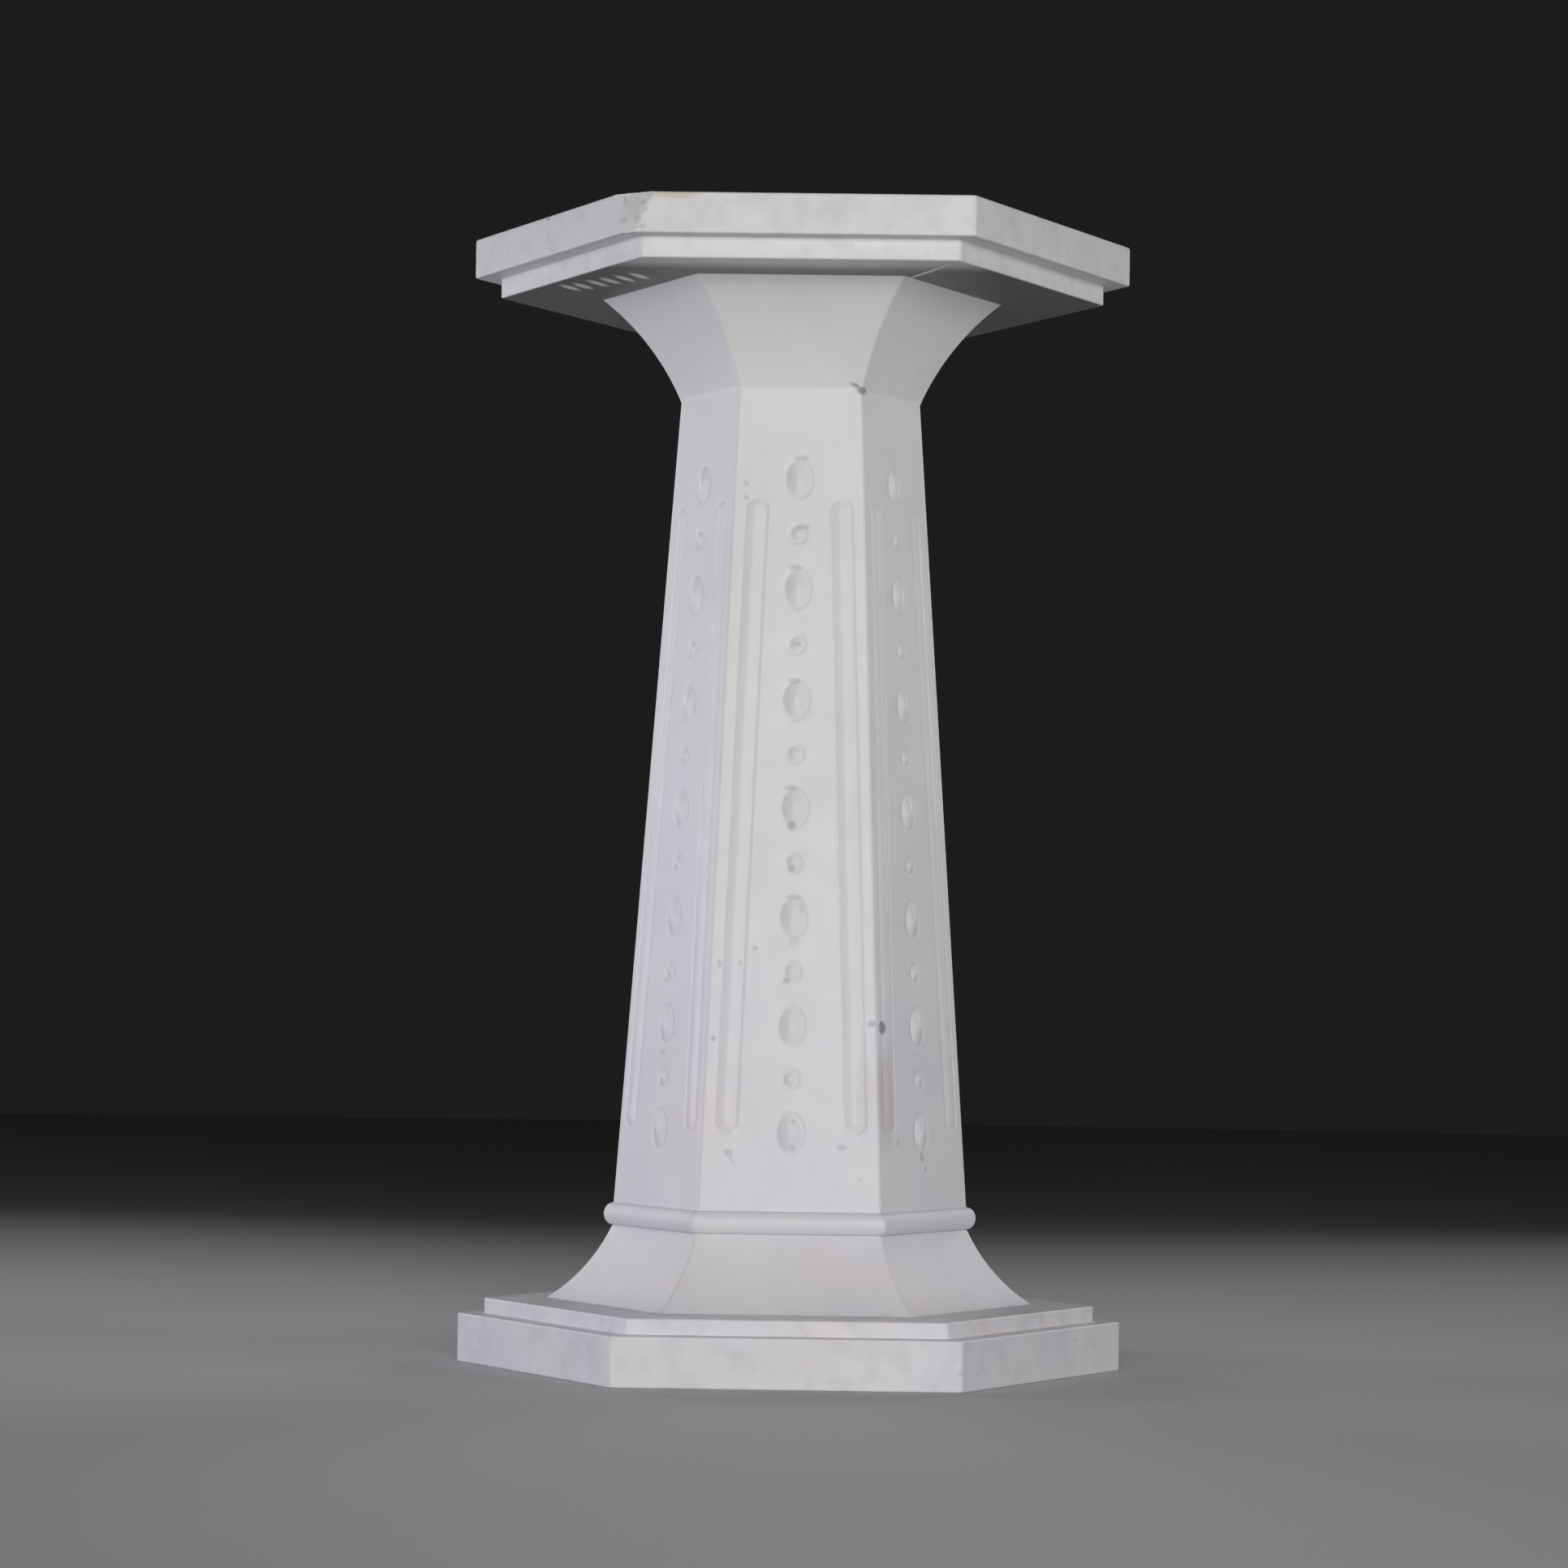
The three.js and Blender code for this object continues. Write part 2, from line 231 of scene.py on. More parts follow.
class SmoothnessCounts(bpy.types.PropertyGroup):
    """How many flat steps the curved stretches are cut in."""

    hollow_steps: count("Hollow steps", "Steps up the flare and the cove", 26)
    astragal_steps: count("Moulding steps", "Steps over the bead moulding", 16)
    edge_steps: count("Edge steps", "Steps round the slabs' edges", 4)
    arris_steps: count("Arris steps", "Steps round the upright edges", 4)
    long_bead_sides: count("Long bead sides", "Steps round a long bead", 40)
    round_bead_sides: count("Round bead sides", "Steps round a round bead", 28)
    bead_rows: count("Bead rows", "Steps from a bead's foot to its crown", 9)
    groove_rows: count("Groove rows", "Steps down the side of a groove", 6)
    flute_sides: count("Flute end steps", "Steps round both ends of a flute together", 32)


# A bead's side falls away as this power of the way out from its middle.
BEAD_FULLNESS = 1.4
# How far each long bead sits from an even spacing, lowest first, in millimetres.
BEAD_DRIFT = (0, -2.1, -2.2, -1.8, -1.9, 0, 2.4)

# How far out of a face an edge may lie and still be its rim, and how close two vertices are welded.
HAIR = 0.01 * MILLIMETRE
WELD = 0.005 * MILLIMETRE
# Sine under which two directions are taken as one, and how much an upright face may look up or down.
ALIGNED = 0.01
UPRIGHT = 0.5
# Faces that meet at less than this angle are shaded smoothly into each other.
SMOOTH_ANGLE = math.radians(34)

# Chips are cut with rough round lumps.
LUMP_STEPS = 3
LUMP_ROUGHNESS = 0.09

# The corner, counted like the faces, is broken with a rough block that leans back at the top. The block's
# width is this many of its thicknesses, and it reaches above and below the table's middle by this share
# of the table's height.
BROKEN_CORNER = -0.5
BREAK_WIDTH = 1.6
BREAK_HEIGHT = 0.8
BREAK_CUTS = 12
BREAK_ROUGHNESS = 1.1 * MILLIMETRE
BREAK_LEAN = math.radians(13)
BREAK_SEED = 4

# Nicks keep to this share of a side's length and this far from the chips. Each lies within this part of
# its own stretch of edge. Their sizes vary between these shares, as do their heights to their lengths.
NICK_SEED = 11
NICK_SPREAD = 0.75
NICK_CLEARANCE = 12 * MILLIMETRE
NICK_STRETCH = (0.2, 0.8)
NICK_SIZES = (0.35, 1)
NICK_HEIGHTS = (0.4, 0.8)
NICK_DEPTH = 0.6

# How the stains, the dirt, and the painted shade and highlight spots are drawn: each fades out from its core
# to its rim, and its edge wanders.
SPOT_RIM, SPOT_CORE = 1.35, 0.5
SPOT_WANDER = 2.4 * MILLIMETRE
SPOT_WANDER_SIZE = 5 * MILLIMETRE
# Strength of the dark spots: dirt, and painted shade at the ends of the beads and flutes.
SHADE_AND_SOOT_STRENGTH = 0.6

# The part of each noise that shows, from where it starts to where it is full.
CLOUD_RANGE = (0.42, 0.72)
ROSE_RANGE = (0.45, 0.65)
LILAC_RANGE = (0.35, 0.6)
GRIME_AND_SHADE_RANGE = (0.3, 0.65)
MOTTLE_RANGE = (0.42, 0.72)
CLOUD_DETAIL, MOTTLE_DETAIL = 5, 4
# The lilac cast takes its noise from this far away from the rosy one's.
LILAC_SHIFT = (1, 1, 1)
# Heights between which the rosy and lilac casts come in, going down.
LOW_HALF = (0.5, 0.12)
# Heights between which the mottling comes in, down to the lower slab and up to the table.
LOWER_SLAB, UPPER_SLAB = (0.05, 0.042), (0.709, 0.713)
# Shares of a groove's depth between which its dirt and painted shade come in.
SHADE_AND_GRIME_DEPTHS = (0.25, 1)
# Depth of the skin that the painted shade and dirt under the table lie in, and where along Y they come in,
# front to back.
SKIN = 0.6 * MILLIMETRE
UNDERSIDE_FADE_IN = (-0.166, -0.128)
# How much the roughness varies over the rubbed surface, and how rough the floor is.
ROUGHNESS_SWING = 0.12
FLOOR_ROUGHNESS = 0.9
FLOOR_SIDES = 96


# The surfaces that a chip or a mark lies on.
SHAFT, SLAB, UNDER = "shaft", "slab", "under"


class Spot(NamedTuple):
    """A chip or a mark, in millimetres. Its half sizes run across, up and out of its surface.

    Faces are counted from the one towards -Y to the right. On the underside, across and height are X and Y.
    The tilt turns it on its surface, in degrees.
    """

    surface: str
    turns: int
    across: float
    height: float
    half: tuple
    strength: float = 1
    tilt: float = 0

    def matrix(self, shape):
        """The matrix that sets the spot in place."""
        place = shape.place_on(self.surface, self.turns, self.across * MILLIMETRE, self.height * MILLIMETRE)
        return place @ Matrix.Rotation(math.radians(self.tilt), 4, "Z")


# Chips and pits, cut into the stone.
CHIPS = (
    Spot(SHAFT, 0, 43, 642, (3.6, 2.4, 1.8)),
    Spot(SHAFT, 0, 36, 645.5, (2.4, 0.9, 0.7)),
    Spot(SHAFT, 1, -47.3, 226, (2.6, 3.4, 2.6)),
    Spot(SHAFT, 1, 0, 141.6, (2, 2.6, 1.8)),
    Spot(SHAFT, 1, 3.7, 133, (1.3, 1.3, 1.4)),
    Spot(SLAB, -1, 0, 750, (2.4, 1.8, 1.6)),
)

# Dark spots: dirt in chips and pits, round the broken corner and on the faces, and painted shade with dirt at
# the ends of the beads and flutes.
SHADE_AND_SOOT_SPOTS = (
    Spot(SHAFT, 0, 2, 596.5, (5, 2, 5), 0.5),
    Spot(SHAFT, 0, 3, 551, (5, 1.9, 5), 0.5),
    Spot(SHAFT, 0, -1, 524, (4.6, 2.2, 5), 0.55),
    Spot(SHAFT, 0, 1, 474, (2.2, 2.2, 5), 0.45),
    Spot(SHAFT, 0, -1, 450, (4.4, 2, 5), 0.5),
    Spot(SHAFT, 0, -2, 380, (4.4, 2, 5), 0.5),
    Spot(SHAFT, 0, -1.5, 355.5, (3, 3, 5), 0.8),
    Spot(SHAFT, 0, 1, 309, (5.4, 2, 5), 0.4),
    Spot(SHAFT, 0, 6, 302, (1.6, 4, 5), 0.3),
    Spot(SHAFT, 0, 1, 280, (3.6, 3.6, 5), 0.25),
    Spot(SHAFT, 0, -1, 327.5, (2.6, 2.4, 5), 0.55),
    Spot(SHAFT, 0, -3.5, 255, (2.4, 2.2, 5), 0.6),
    Spot(SHAFT, 0, 34, 148.3, (3.4, 2.4, 5), 0.45),
    Spot(SHAFT, 0, -39.3, 144, (2.6, 2.6, 5), 0.5),
    Spot(SHAFT, 0, -37, 139.5, (1, 5.4, 5), 0.3, 24),
    Spot(SHAFT, 0, 2, 164.5, (1.6, 2, 5), 0.35),
    Spot(SHAFT, 0, 2.4, 147.8, (1.6, 2, 5), 0.35),
    Spot(SHAFT, 0, 45.4, 127.7, (1.6, 1.6, 5), 0.35),
    Spot(SHAFT, 0, -49.9, 217, (1.8, 2.2, 5), 0.6),
    Spot(SHAFT, 0, -24, 275.4, (2.2, 1.6, 5), 0.5),
    Spot(SHAFT, 0, -47, 266, (1.8, 2.6, 5), 0.45),
    Spot(SHAFT, 0, -33.4, 265.8, (1.6, 2.2, 5), 0.35),
    Spot(SHAFT, 0, -34, 579.8, (2, 1.8, 5), 0.5),
    Spot(SHAFT, 0, -34, 570.2, (2, 1.8, 5), 0.5),
    Spot(SHAFT, 0, 41.6, 642, (4.8, 2.8, 6), 1.3),
    Spot(SHAFT, 0, 37, 644.8, (4.6, 1.5, 6), 1, -24),
    Spot(SHAFT, 1, -46.2, 225.5, (4.4, 4.4, 6), 1.5),
    Spot(SHAFT, 0, 51.6, 228, (2.6, 2.4, 6), 0.7),
    Spot(SHAFT, 1, 0, 141.6, (2.2, 2.8, 5), 1.3),
    Spot(SHAFT, 1, 3.7, 133, (1.5, 1.5, 5), 1),
    Spot(SHAFT, 1, -31, 151, (1.8, 2.4, 5), 0.5),
    Spot(SHAFT, -1, -2, 187, (3, 2.4, 5), 0.4),
    Spot(SHAFT, -1, -4, 255, (3, 2, 5), 0.45),
    Spot(SHAFT, -1, -2, 208, (4, 1.8, 5), 0.3),
    Spot(SLAB, -1, 0, 749, (2.4, 2.2, 5), 0.8),
    Spot(SLAB, 0, -99.6, 743.4, (2, 1.8, 6), 0.7),
    Spot(SLAB, 0, -111, 746, (1, 3.6, 14), 0.9, 10),
    Spot(SLAB, 0, -107, 743, (7.5, 5, 14), 0.3),
    Spot(SLAB, 0, -104, 736, (4, 7, 14), 0.25, 14),
    Spot(SLAB, 0, -112, 732, (3, 2.4, 14), 0.4),
    Spot(SLAB, 0, -100, 727.5, (2.6, 1.8, 6), 0.4),
    Spot(SLAB, 0, 109, 12, (2, 2, 5), 0.35),
    Spot(SLAB, 1, 44, 24, (2.4, 1.6, 5), 0.3),
)
# The brown stain beside the front right edge of the shaft, and the yellow one on the table's edge.
RUST_SPOTS = (
    Spot(SHAFT, 1, -45, 180, (11, 32, 6), 0.34, -2),
    Spot(SHAFT, 1, -51.6, 178, (3, 34, 6), 0.25, -2),
    Spot(SHAFT, 0, 48, 180, (6, 30, 6), 0.16, 2),
)
LICHEN_SPOTS = (Spot(SLAB, 0, -80, 748.5, (17, 2.6, 5), 0.55),)
# The pale marks under the table are a row of short slanting strokes beside its edge, at these X and Y, and
# a streak from the cove towards the front right corner. One more pale spot, low on the front face at the
# lower end of a reed, is a painted highlight.
STROKES = ((-153, -50), (-144, -57), (-134, -70), (-125, -80), (-115, -90), (-105, -101))
CHALK_AND_HIGHLIGHT_SPOTS = (
    *(Spot(UNDER, 0, x, y, (3.4, 13, 5), tilt=-24) for x, y in STROKES),
    Spot(UNDER, 0, 81, -129, (1.9, 34, 5), 0.9, 24),
    # A painted highlight on the rounded lower end of a reed.
    Spot(SHAFT, 0, -35.4, 158, (2, 3, 5), 0.3),
)


def deselect():
    """Leave nothing selected, so that an operator acts only on what is made next."""
    bpy.ops.object.select_all(action="DESELECT")


def take(first, *others):
    """Select only these pieces, with the first one active."""
    deselect()
    for piece in (first, *others):
        piece.select_set(True)
    bpy.context.view_layer.objects.active = first


@contextmanager
def editing(piece, kind="FACE"):
    """Edit mode on one piece."""
    take(piece)
    bpy.ops.object.mode_set(mode="EDIT")
    bpy.ops.mesh.select_mode(type=kind)
    yield
    bpy.ops.object.mode_set(mode="OBJECT")


def pick(piece, kind, test):
    """Select the vertices, edges or faces that pass a test."""
    bpy.ops.mesh.select_all(action="DESELECT")
    mesh = bmesh.from_edit_mesh(piece.data)
    for part in getattr(mesh, kind):
        if test(part):
            part.select_set(True)
    mesh.select_flush_mode()
    bmesh.update_edit_mesh(piece.data)


def join(whole, *others):
    """Make the other pieces part of the first."""
    take(whole, *others)
    bpy.ops.object.join()


def copy_of(piece):
    """A copy of a piece with its own mesh."""
    take(piece)
    bpy.ops.object.duplicate(linked=False)
    return bpy.context.object


def settle(piece):
    """Move a piece's place and turn into its mesh."""
    take(piece)
    bpy.ops.object.transform_apply(location=True, rotation=True, scale=True)


def hollow(start, end, radius, steps):
    """Points of an arc that is hollow towards the outside, from a lower point to a higher one."""
    start, end = Vector(start), Vector(end)
    chord = end - start
    outward = Vector((chord.y, -chord.x)).normalized()
    centre = (start + end) / 2 + outward * math.sqrt(radius ** 2 - chord.length_squared / 4)
    first = start - centre
    turn = first.angle_signed(end - centre)
    return [tuple(centre + Matrix.Rotation(-turn * step / steps, 2) @ first) for step in range(steps + 1)]


def swelling(bottom, top, wall, reach, steps):
    """Points of a half-round moulding that stands out from the wall to the given reach."""
    middle, half = (bottom + top) / 2, (top - bottom) / 2
    angles = [math.pi * (step / steps - 0.5) for step in range(steps + 1)]
    return [(wall + (reach - wall) * math.cos(angle), middle + half * math.sin(angle)) for angle in angles]


def slab(bottom, top, reach, radius, steps, *, lower=True, upper=True):
    """Points up the rim of a slab, with its edges rounded."""
    angles = [math.pi / 2 * step / steps for step in range(steps + 1)]
    low = [(reach - radius + radius * math.sin(a), bottom + radius - radius * math.cos(a)) for a in angles]
    high = [(reach - radius + radius * math.cos(a), top - radius + radius * math.sin(a)) for a in angles]
    return (low if lower else [(reach, bottom)]) + (high if upper else [(reach, top)])


class Shape:
    """The pedestal's heights and slopes, worked out from its sizes."""

    def __init__(self, outline, carving, counts):
        self.outline, self.carving, self.counts = outline, carving, counts
        self.flare_bottom = outline.plinth_height + outline.base_fillet_height
        self.astragal_bottom = self.flare_bottom + outline.flare_height + outline.quirk_height
        self.shaft_bottom = self.astragal_bottom + outline.astragal_height
        self.table_bottom = COLUMN_HEIGHT - outline.table_height
        self.cove_top = self.table_bottom - outline.table_fillet_height
        self.shaft_top = self.cove_top - outline.cove_height
        rise = self.shaft_top - self.shaft_bottom
        shrink = outline.shaft_foot_reach - outline.shaft_neck_reach
        self.face_lean = math.atan2(shrink * FLAT_TO_CORNER, rise)
        self.edge_lean = math.atan2(shrink * math.sin(TURN / 2), rise / math.cos(self.face_lean))
        self.foot = Vector((0, -outline.shaft_foot_reach * FLAT_TO_CORNER, self.shaft_bottom))

    def up_face(self, height):
        """Distance up the sloping face of a place at the given height."""
        return (height - self.shaft_bottom) / math.cos(self.face_lean)

    def reach(self, height):
        """Reach of the shaft at a height."""
        part = (height - self.shaft_bottom) / (self.shaft_top - self.shaft_bottom)
        return self.outline.shaft_foot_reach * (1 - part) + self.outline.shaft_neck_reach * part

    def half_face(self, height):
        """Half the width of a face of the shaft at a height."""
        return self.reach(height) / 2

    def facing(self, turns):
        """The matrix that sets what lies flat on the floor on a face of the shaft."""
        turned = Matrix.Rotation(turns * TURN, 4, "Z") @ Matrix.Translation(self.foot)
        return turned @ Matrix.Rotation(math.pi / 2 - self.face_lean, 4, "X")

    def slab_side(self, turns):
        """The matrix that sets what lies flat on the floor on an upright side of the two slabs."""
        turned = Matrix.Rotation(turns * TURN, 4, "Z")
        out = Matrix.Translation((0, -TABLE_REACH * FLAT_TO_CORNER, 0))
        return turned @ out @ Matrix.Rotation(math.pi / 2, 4, "X")

    def underside(self):
        """The matrix that sets what lies flat on the floor on the face under the table's step."""
        return Matrix.Translation((0, 0, self.cove_top))

    def place_on(self, surface, turns, across, height):
        """The matrix that sets a thing from the origin on a surface, with its Z axis out of the stone."""
        if surface == SHAFT:
            return self.facing(turns) @ Matrix.Translation((across, self.up_face(height), 0))
        face = self.slab_side(turns) if surface == SLAB else self.underside()
        return face @ Matrix.Translation((across, height, 0))

    def rings(self):
        """Reach and height of each ring of the column, from the floor up."""
        o, c = self.outline, self.counts
        radius, steps = o.edge_radius, c.edge_steps
        return [
            *slab(0, o.plinth_height, TABLE_REACH, radius, steps),
            *slab(o.plinth_height, self.flare_bottom, o.fillet_reach, radius, steps, lower=False),
            *hollow(
                (o.flare_foot_reach, self.flare_bottom),
                (o.flare_top_reach, self.astragal_bottom - o.quirk_height),
                o.flare_radius, c.hollow_steps),
            *swelling(
                self.astragal_bottom, self.shaft_bottom, o.shaft_foot_reach, o.astragal_reach,
                c.astragal_steps),
            *hollow(
                (o.shaft_neck_reach, self.shaft_top), (o.cove_top_reach, self.cove_top),
                o.cove_radius, c.hollow_steps),
            *slab(self.cove_top, self.table_bottom, o.fillet_reach, radius, steps, upper=False),
            *slab(self.table_bottom, COLUMN_HEIGHT, TABLE_REACH, radius, steps),
        ]

    def bead_heights(self):
        """Heights of the long beads, and of the round ones between them."""
        carving = self.carving
        long = [
            carving.lowest_bead + number * carving.bead_pitch + drift * MILLIMETRE
            for number, drift in enumerate(BEAD_DRIFT)
        ]
        return long, [(low + high) / 2 for low, high in pairwise(long)]


def rough_column(shape):
    """The plain hexagonal column, drawn up ring by ring, with its upright edges rubbed down."""
    rings = shape.rings()
    reach, height = rings[0]
    deselect()
    bpy.ops.mesh.primitive_circle_add(
        vertices=SIDES, radius=reach, fill_type="NGON", location=(0, 0, height), rotation=(0, 0, math.pi / 2))
    column = bpy.context.object
    column.name = "marble_pedestal"
    settle(column)
    with editing(column):
        bpy.ops.mesh.select_all(action="SELECT")
        for (reach, height), (next_reach, next_height) in pairwise(rings):
            ratio = next_reach / reach
            bpy.ops.mesh.extrude_region_move(
                TRANSFORM_OT_translate={"value": (0, 0, next_height - height)})
            bpy.ops.transform.resize(value=(ratio, ratio, 1), center_override=(0, 0, next_height))
        bpy.ops.mesh.select_mode(type="EDGE")
        pick(column, "edges", lambda edge: edge.is_boundary)
        bpy.ops.mesh.edge_face_add()
        bpy.ops.mesh.select_all(action="SELECT")
        bpy.ops.mesh.normals_make_consistent(inside=False)
        pick(column, "edges", is_arris)
        bpy.ops.mesh.bevel(
            offset=shape.outline.arris_width, offset_type="OFFSET", segments=shape.counts.arris_steps,
            affect="EDGES", clamp_overlap=True)
    return column


def is_arris(edge):
    """Whether an edge runs from ring to ring, and so up the column's corner."""
    first, second = (vert.co.xy for vert in edge.verts)
    return abs(first.cross(second)) < first.length * second.length * ALIGNED


def open_faces(column, shape):
    """Open the six faces of the shaft, inside a narrow border, to take their carving."""
    least = shape.outline.shaft_neck_reach / 2 * (shape.shaft_top - shape.shaft_bottom)
    with editing(column):
        pick(column, "faces", lambda face: abs(face.normal.z) < UPRIGHT and face.calc_area() > least)
        bpy.ops.mesh.inset(thickness=shape.carving.margin, use_even_offset=True, use_individual=True)
        bpy.ops.mesh.delete(type="ONLY_FACE")


def mark_depth(piece, depth):
    """Note on each vertex how deep it lies in the carving, from 0 at the face to 1 at the bottom."""
    attribute = piece.data.attributes.new("depth", "FLOAT", "POINT")
    values = [min(1, max(0, -vert.co.z / depth)) for vert in piece.data.vertices]
    attribute.data.foreach_set("value", values)


def side_of_groove(width, depth, rows):
    """Steps down the side of a groove as pairs of how far in and how far down, rounded at both ends."""
    shares = [row / rows for row in range(rows + 1)]
    places = [(width * part, depth * part * part * (3 - 2 * part)) for part in shares]
    return [(x1 - x0, y1 - y0) for (x0, y0), (x1, y1) in pairwise(places)]


def crown(spread):
    """Share of a bead's height at a share of the way from its middle to its rim."""
    return 1 - spread ** BEAD_FULLNESS


def carve_bead(kind, shape):
    """A bead of one kind in its groove, lying flat at the origin with its length along Y."""
    carving, counts = shape.carving, shape.counts
    width, height, depth, proud = (
        getattr(carving, f"{kind}_{size}") for size in ("width", "length", "depth", "proud"))
    border = carving.groove_width + carving.margin
    half_width, half_height = width / 2 + border, height / 2 + border
    deselect()
    bpy.ops.mesh.primitive_circle_add(
        vertices=getattr(counts, f"{kind}_sides"), radius=half_width, fill_type="NGON", location=(0, 0, 0))
    bead = bpy.context.object
    bead.name = kind
    with editing(bead):
        bpy.ops.mesh.select_all(action="SELECT")
        bpy.ops.transform.resize(value=(1, half_height / half_width, 1), center_override=(0, 0, 0))
        bpy.ops.mesh.inset(thickness=carving.margin, use_even_offset=True)
        for inward, down in side_of_groove(carving.groove_width, depth, counts.groove_rows):
            bpy.ops.mesh.inset(thickness=inward, depth=-down, use_even_offset=True)
        rise = depth + proud
        spreads = [1 - row / counts.bead_rows for row in range(counts.bead_rows)]
        for spread, following in pairwise(spreads):
            lift = rise * (crown(following) - crown(spread))
            bpy.ops.mesh.extrude_region_move(TRANSFORM_OT_translate={"value": (0, 0, lift)})
            bpy.ops.transform.resize(
                value=(following / spread, following / spread, 1), center_override=(0, 0, 0))
        bpy.ops.mesh.poke(offset=rise * (1 - crown(spreads[-1])), use_relative_offset=False)
    mark_depth(bead, depth)
    return bead


def carve_flute(shape):
    """A flute with its reed, lying flat with its middle at the origin and its length along Y."""
    carving, counts = shape.carving, shape.counts
    half_width = carving.flute_width / 2 + carving.margin
    run = shape.up_face(carving.flute_top) - shape.up_face(carving.flute_bottom) - carving.flute_width
    deselect()
    bpy.ops.mesh.primitive_circle_add(
        vertices=counts.flute_sides, radius=half_width, fill_type="NGON", location=(0, 0, 0),
        rotation=(0, 0, math.pi / counts.flute_sides))
    flute = bpy.context.object
    flute.name = "flute"
    settle(flute)
    with editing(flute):
        bpy.ops.mesh.select_mode(type="VERT")
        for side in (-1, 1):
            pick(flute, "verts", lambda vert, side=side: vert.co.y * side > 0)
            bpy.ops.transform.translate(value=(0, side * run / 2, 0))
        bpy.ops.mesh.select_mode(type="FACE")
        bpy.ops.mesh.select_all(action="SELECT")
        bpy.ops.mesh.inset(thickness=carving.margin, use_even_offset=True)
        gap = (carving.flute_width - carving.reed_width) / 2
        for inward, down in side_of_groove(gap, carving.flute_depth, counts.groove_rows):
            bpy.ops.mesh.inset(thickness=inward, depth=-down, use_even_offset=True)
        rise = carving.flute_depth + carving.reed_proud
        spreads = [1 - row / counts.bead_rows for row in range(counts.bead_rows)]
        for spread, following in pairwise(spreads):
            inward = carving.reed_width / 2 * (spread - following)
            lift = rise * (crown(following) - crown(spread))
            bpy.ops.mesh.inset(thickness=inward, depth=lift, use_even_offset=True)
    mark_depth(flute, carving.flute_depth)
    return flute


def carve_face(shape):
    """All the carving of one face of the shaft, in place over the face towards -Y."""
    carving = shape.carving
    long_heights, round_heights = shape.bead_heights()
    flute_middle = (carving.flute_bottom + carving.flute_top) / 2
    flute_across = shape.half_face(flute_middle) - carving.flute_from_edge
    long_bead, round_bead = carve_bead("long_bead", shape), carve_bead("round_bead", shape)
    flute = carve_flute(shape)
    places = [(long_bead, 0, height, 0) for height in long_heights]
    places += [(round_bead, 0, height, 0) for height in round_heights]
    places += [(flute, side * flute_across, flute_middle, side * shape.edge_lean) for side in (-1, 1)]
    carvings = []
    for model, across, height, turn in places:
        carved = copy_of(model)
        carved.location = (across, shape.up_face(height), 0)
        carved.rotation_euler = (0, 0, turn)
        settle(carved)
        carvings.append(carved)
    for model in (long_bead, round_bead, flute):
        bpy.data.objects.remove(model)
    join(*carvings)
    carvings[0].name = "face_carving"
    return carvings[0]


def close_face(column, shape, turns):
    """Fill the flat of one face between its border and its carving."""
    away = shape.facing(turns).inverted()

    def is_rim(edge):
        level = all(abs((away @ vert.co).z) < HAIR for vert in edge.verts)
        return edge.is_boundary and level

    with editing(column, "EDGE"):
        pick(column, "edges", is_rim)
        bpy.ops.mesh.fill(use_beauty=True)


def carve_shaft(column, shape):
    """Put the carving on all six faces of the shaft."""
    open_faces(column, shape)
    pattern = carve_face(shape)
    carvings = []
    for turns in range(SIDES):
        carved = copy_of(pattern)
        carved.matrix_world = shape.facing(turns)
        settle(carved)
        carvings.append(carved)
    bpy.data.objects.remove(pattern)
    join(column, *carvings)
    for turns in range(SIDES):
        close_face(column, shape, turns)
    with editing(column):
        bpy.ops.mesh.select_all(action="SELECT")
        bpy.ops.mesh.remove_doubles(threshold=WELD)
        bpy.ops.mesh.normals_make_consistent(inside=False)


def lump(half, seed):
    """A rough round lump with the given half sizes, to cut a chip with."""
    deselect()
    bpy.ops.mesh.primitive_ico_sphere_add(subdivisions=LUMP_STEPS, radius=1, location=(0, 0, 0))
    cutter = bpy.context.object
    with editing(cutter, "VERT"):
        bpy.ops.mesh.select_all(action="SELECT")
        bpy.ops.transform.vertex_random(offset=LUMP_ROUGHNESS, seed=seed)
        bpy.ops.transform.resize(value=half, center_override=(0, 0, 0))
    return cutter


def corner_cutter(shape, wear):
    """A rough block that takes off the table's front left corner, and more of it at the top."""
    table_height = shape.outline.table_height
    half = (wear.corner_block * BREAK_WIDTH, wear.corner_block, table_height * BREAK_HEIGHT)
    deselect()
    bpy.ops.mesh.primitive_cube_add(size=2, location=(0, 0, 0))
    cutter = bpy.context.object
    with editing(cutter, "VERT"):
        bpy.ops.mesh.select_all(action="SELECT")
        bpy.ops.transform.resize(value=half, center_override=(0, 0, 0))
        bpy.ops.mesh.subdivide(number_cuts=BREAK_CUTS)
        bpy.ops.transform.vertex_random(offset=BREAK_ROUGHNESS, seed=BREAK_SEED)
    outward = Matrix.Rotation(BROKEN_CORNER * TURN, 4, "Z")
    away = TABLE_REACH - wear.corner_bite + half[1]
    place = Matrix.Translation((0, -away, COLUMN_HEIGHT - table_height / 2))
    cutter.matrix_world = outward @ place @ Matrix.Rotation(-BREAK_LEAN, 4, "X")
    settle(cutter)
    return cutter


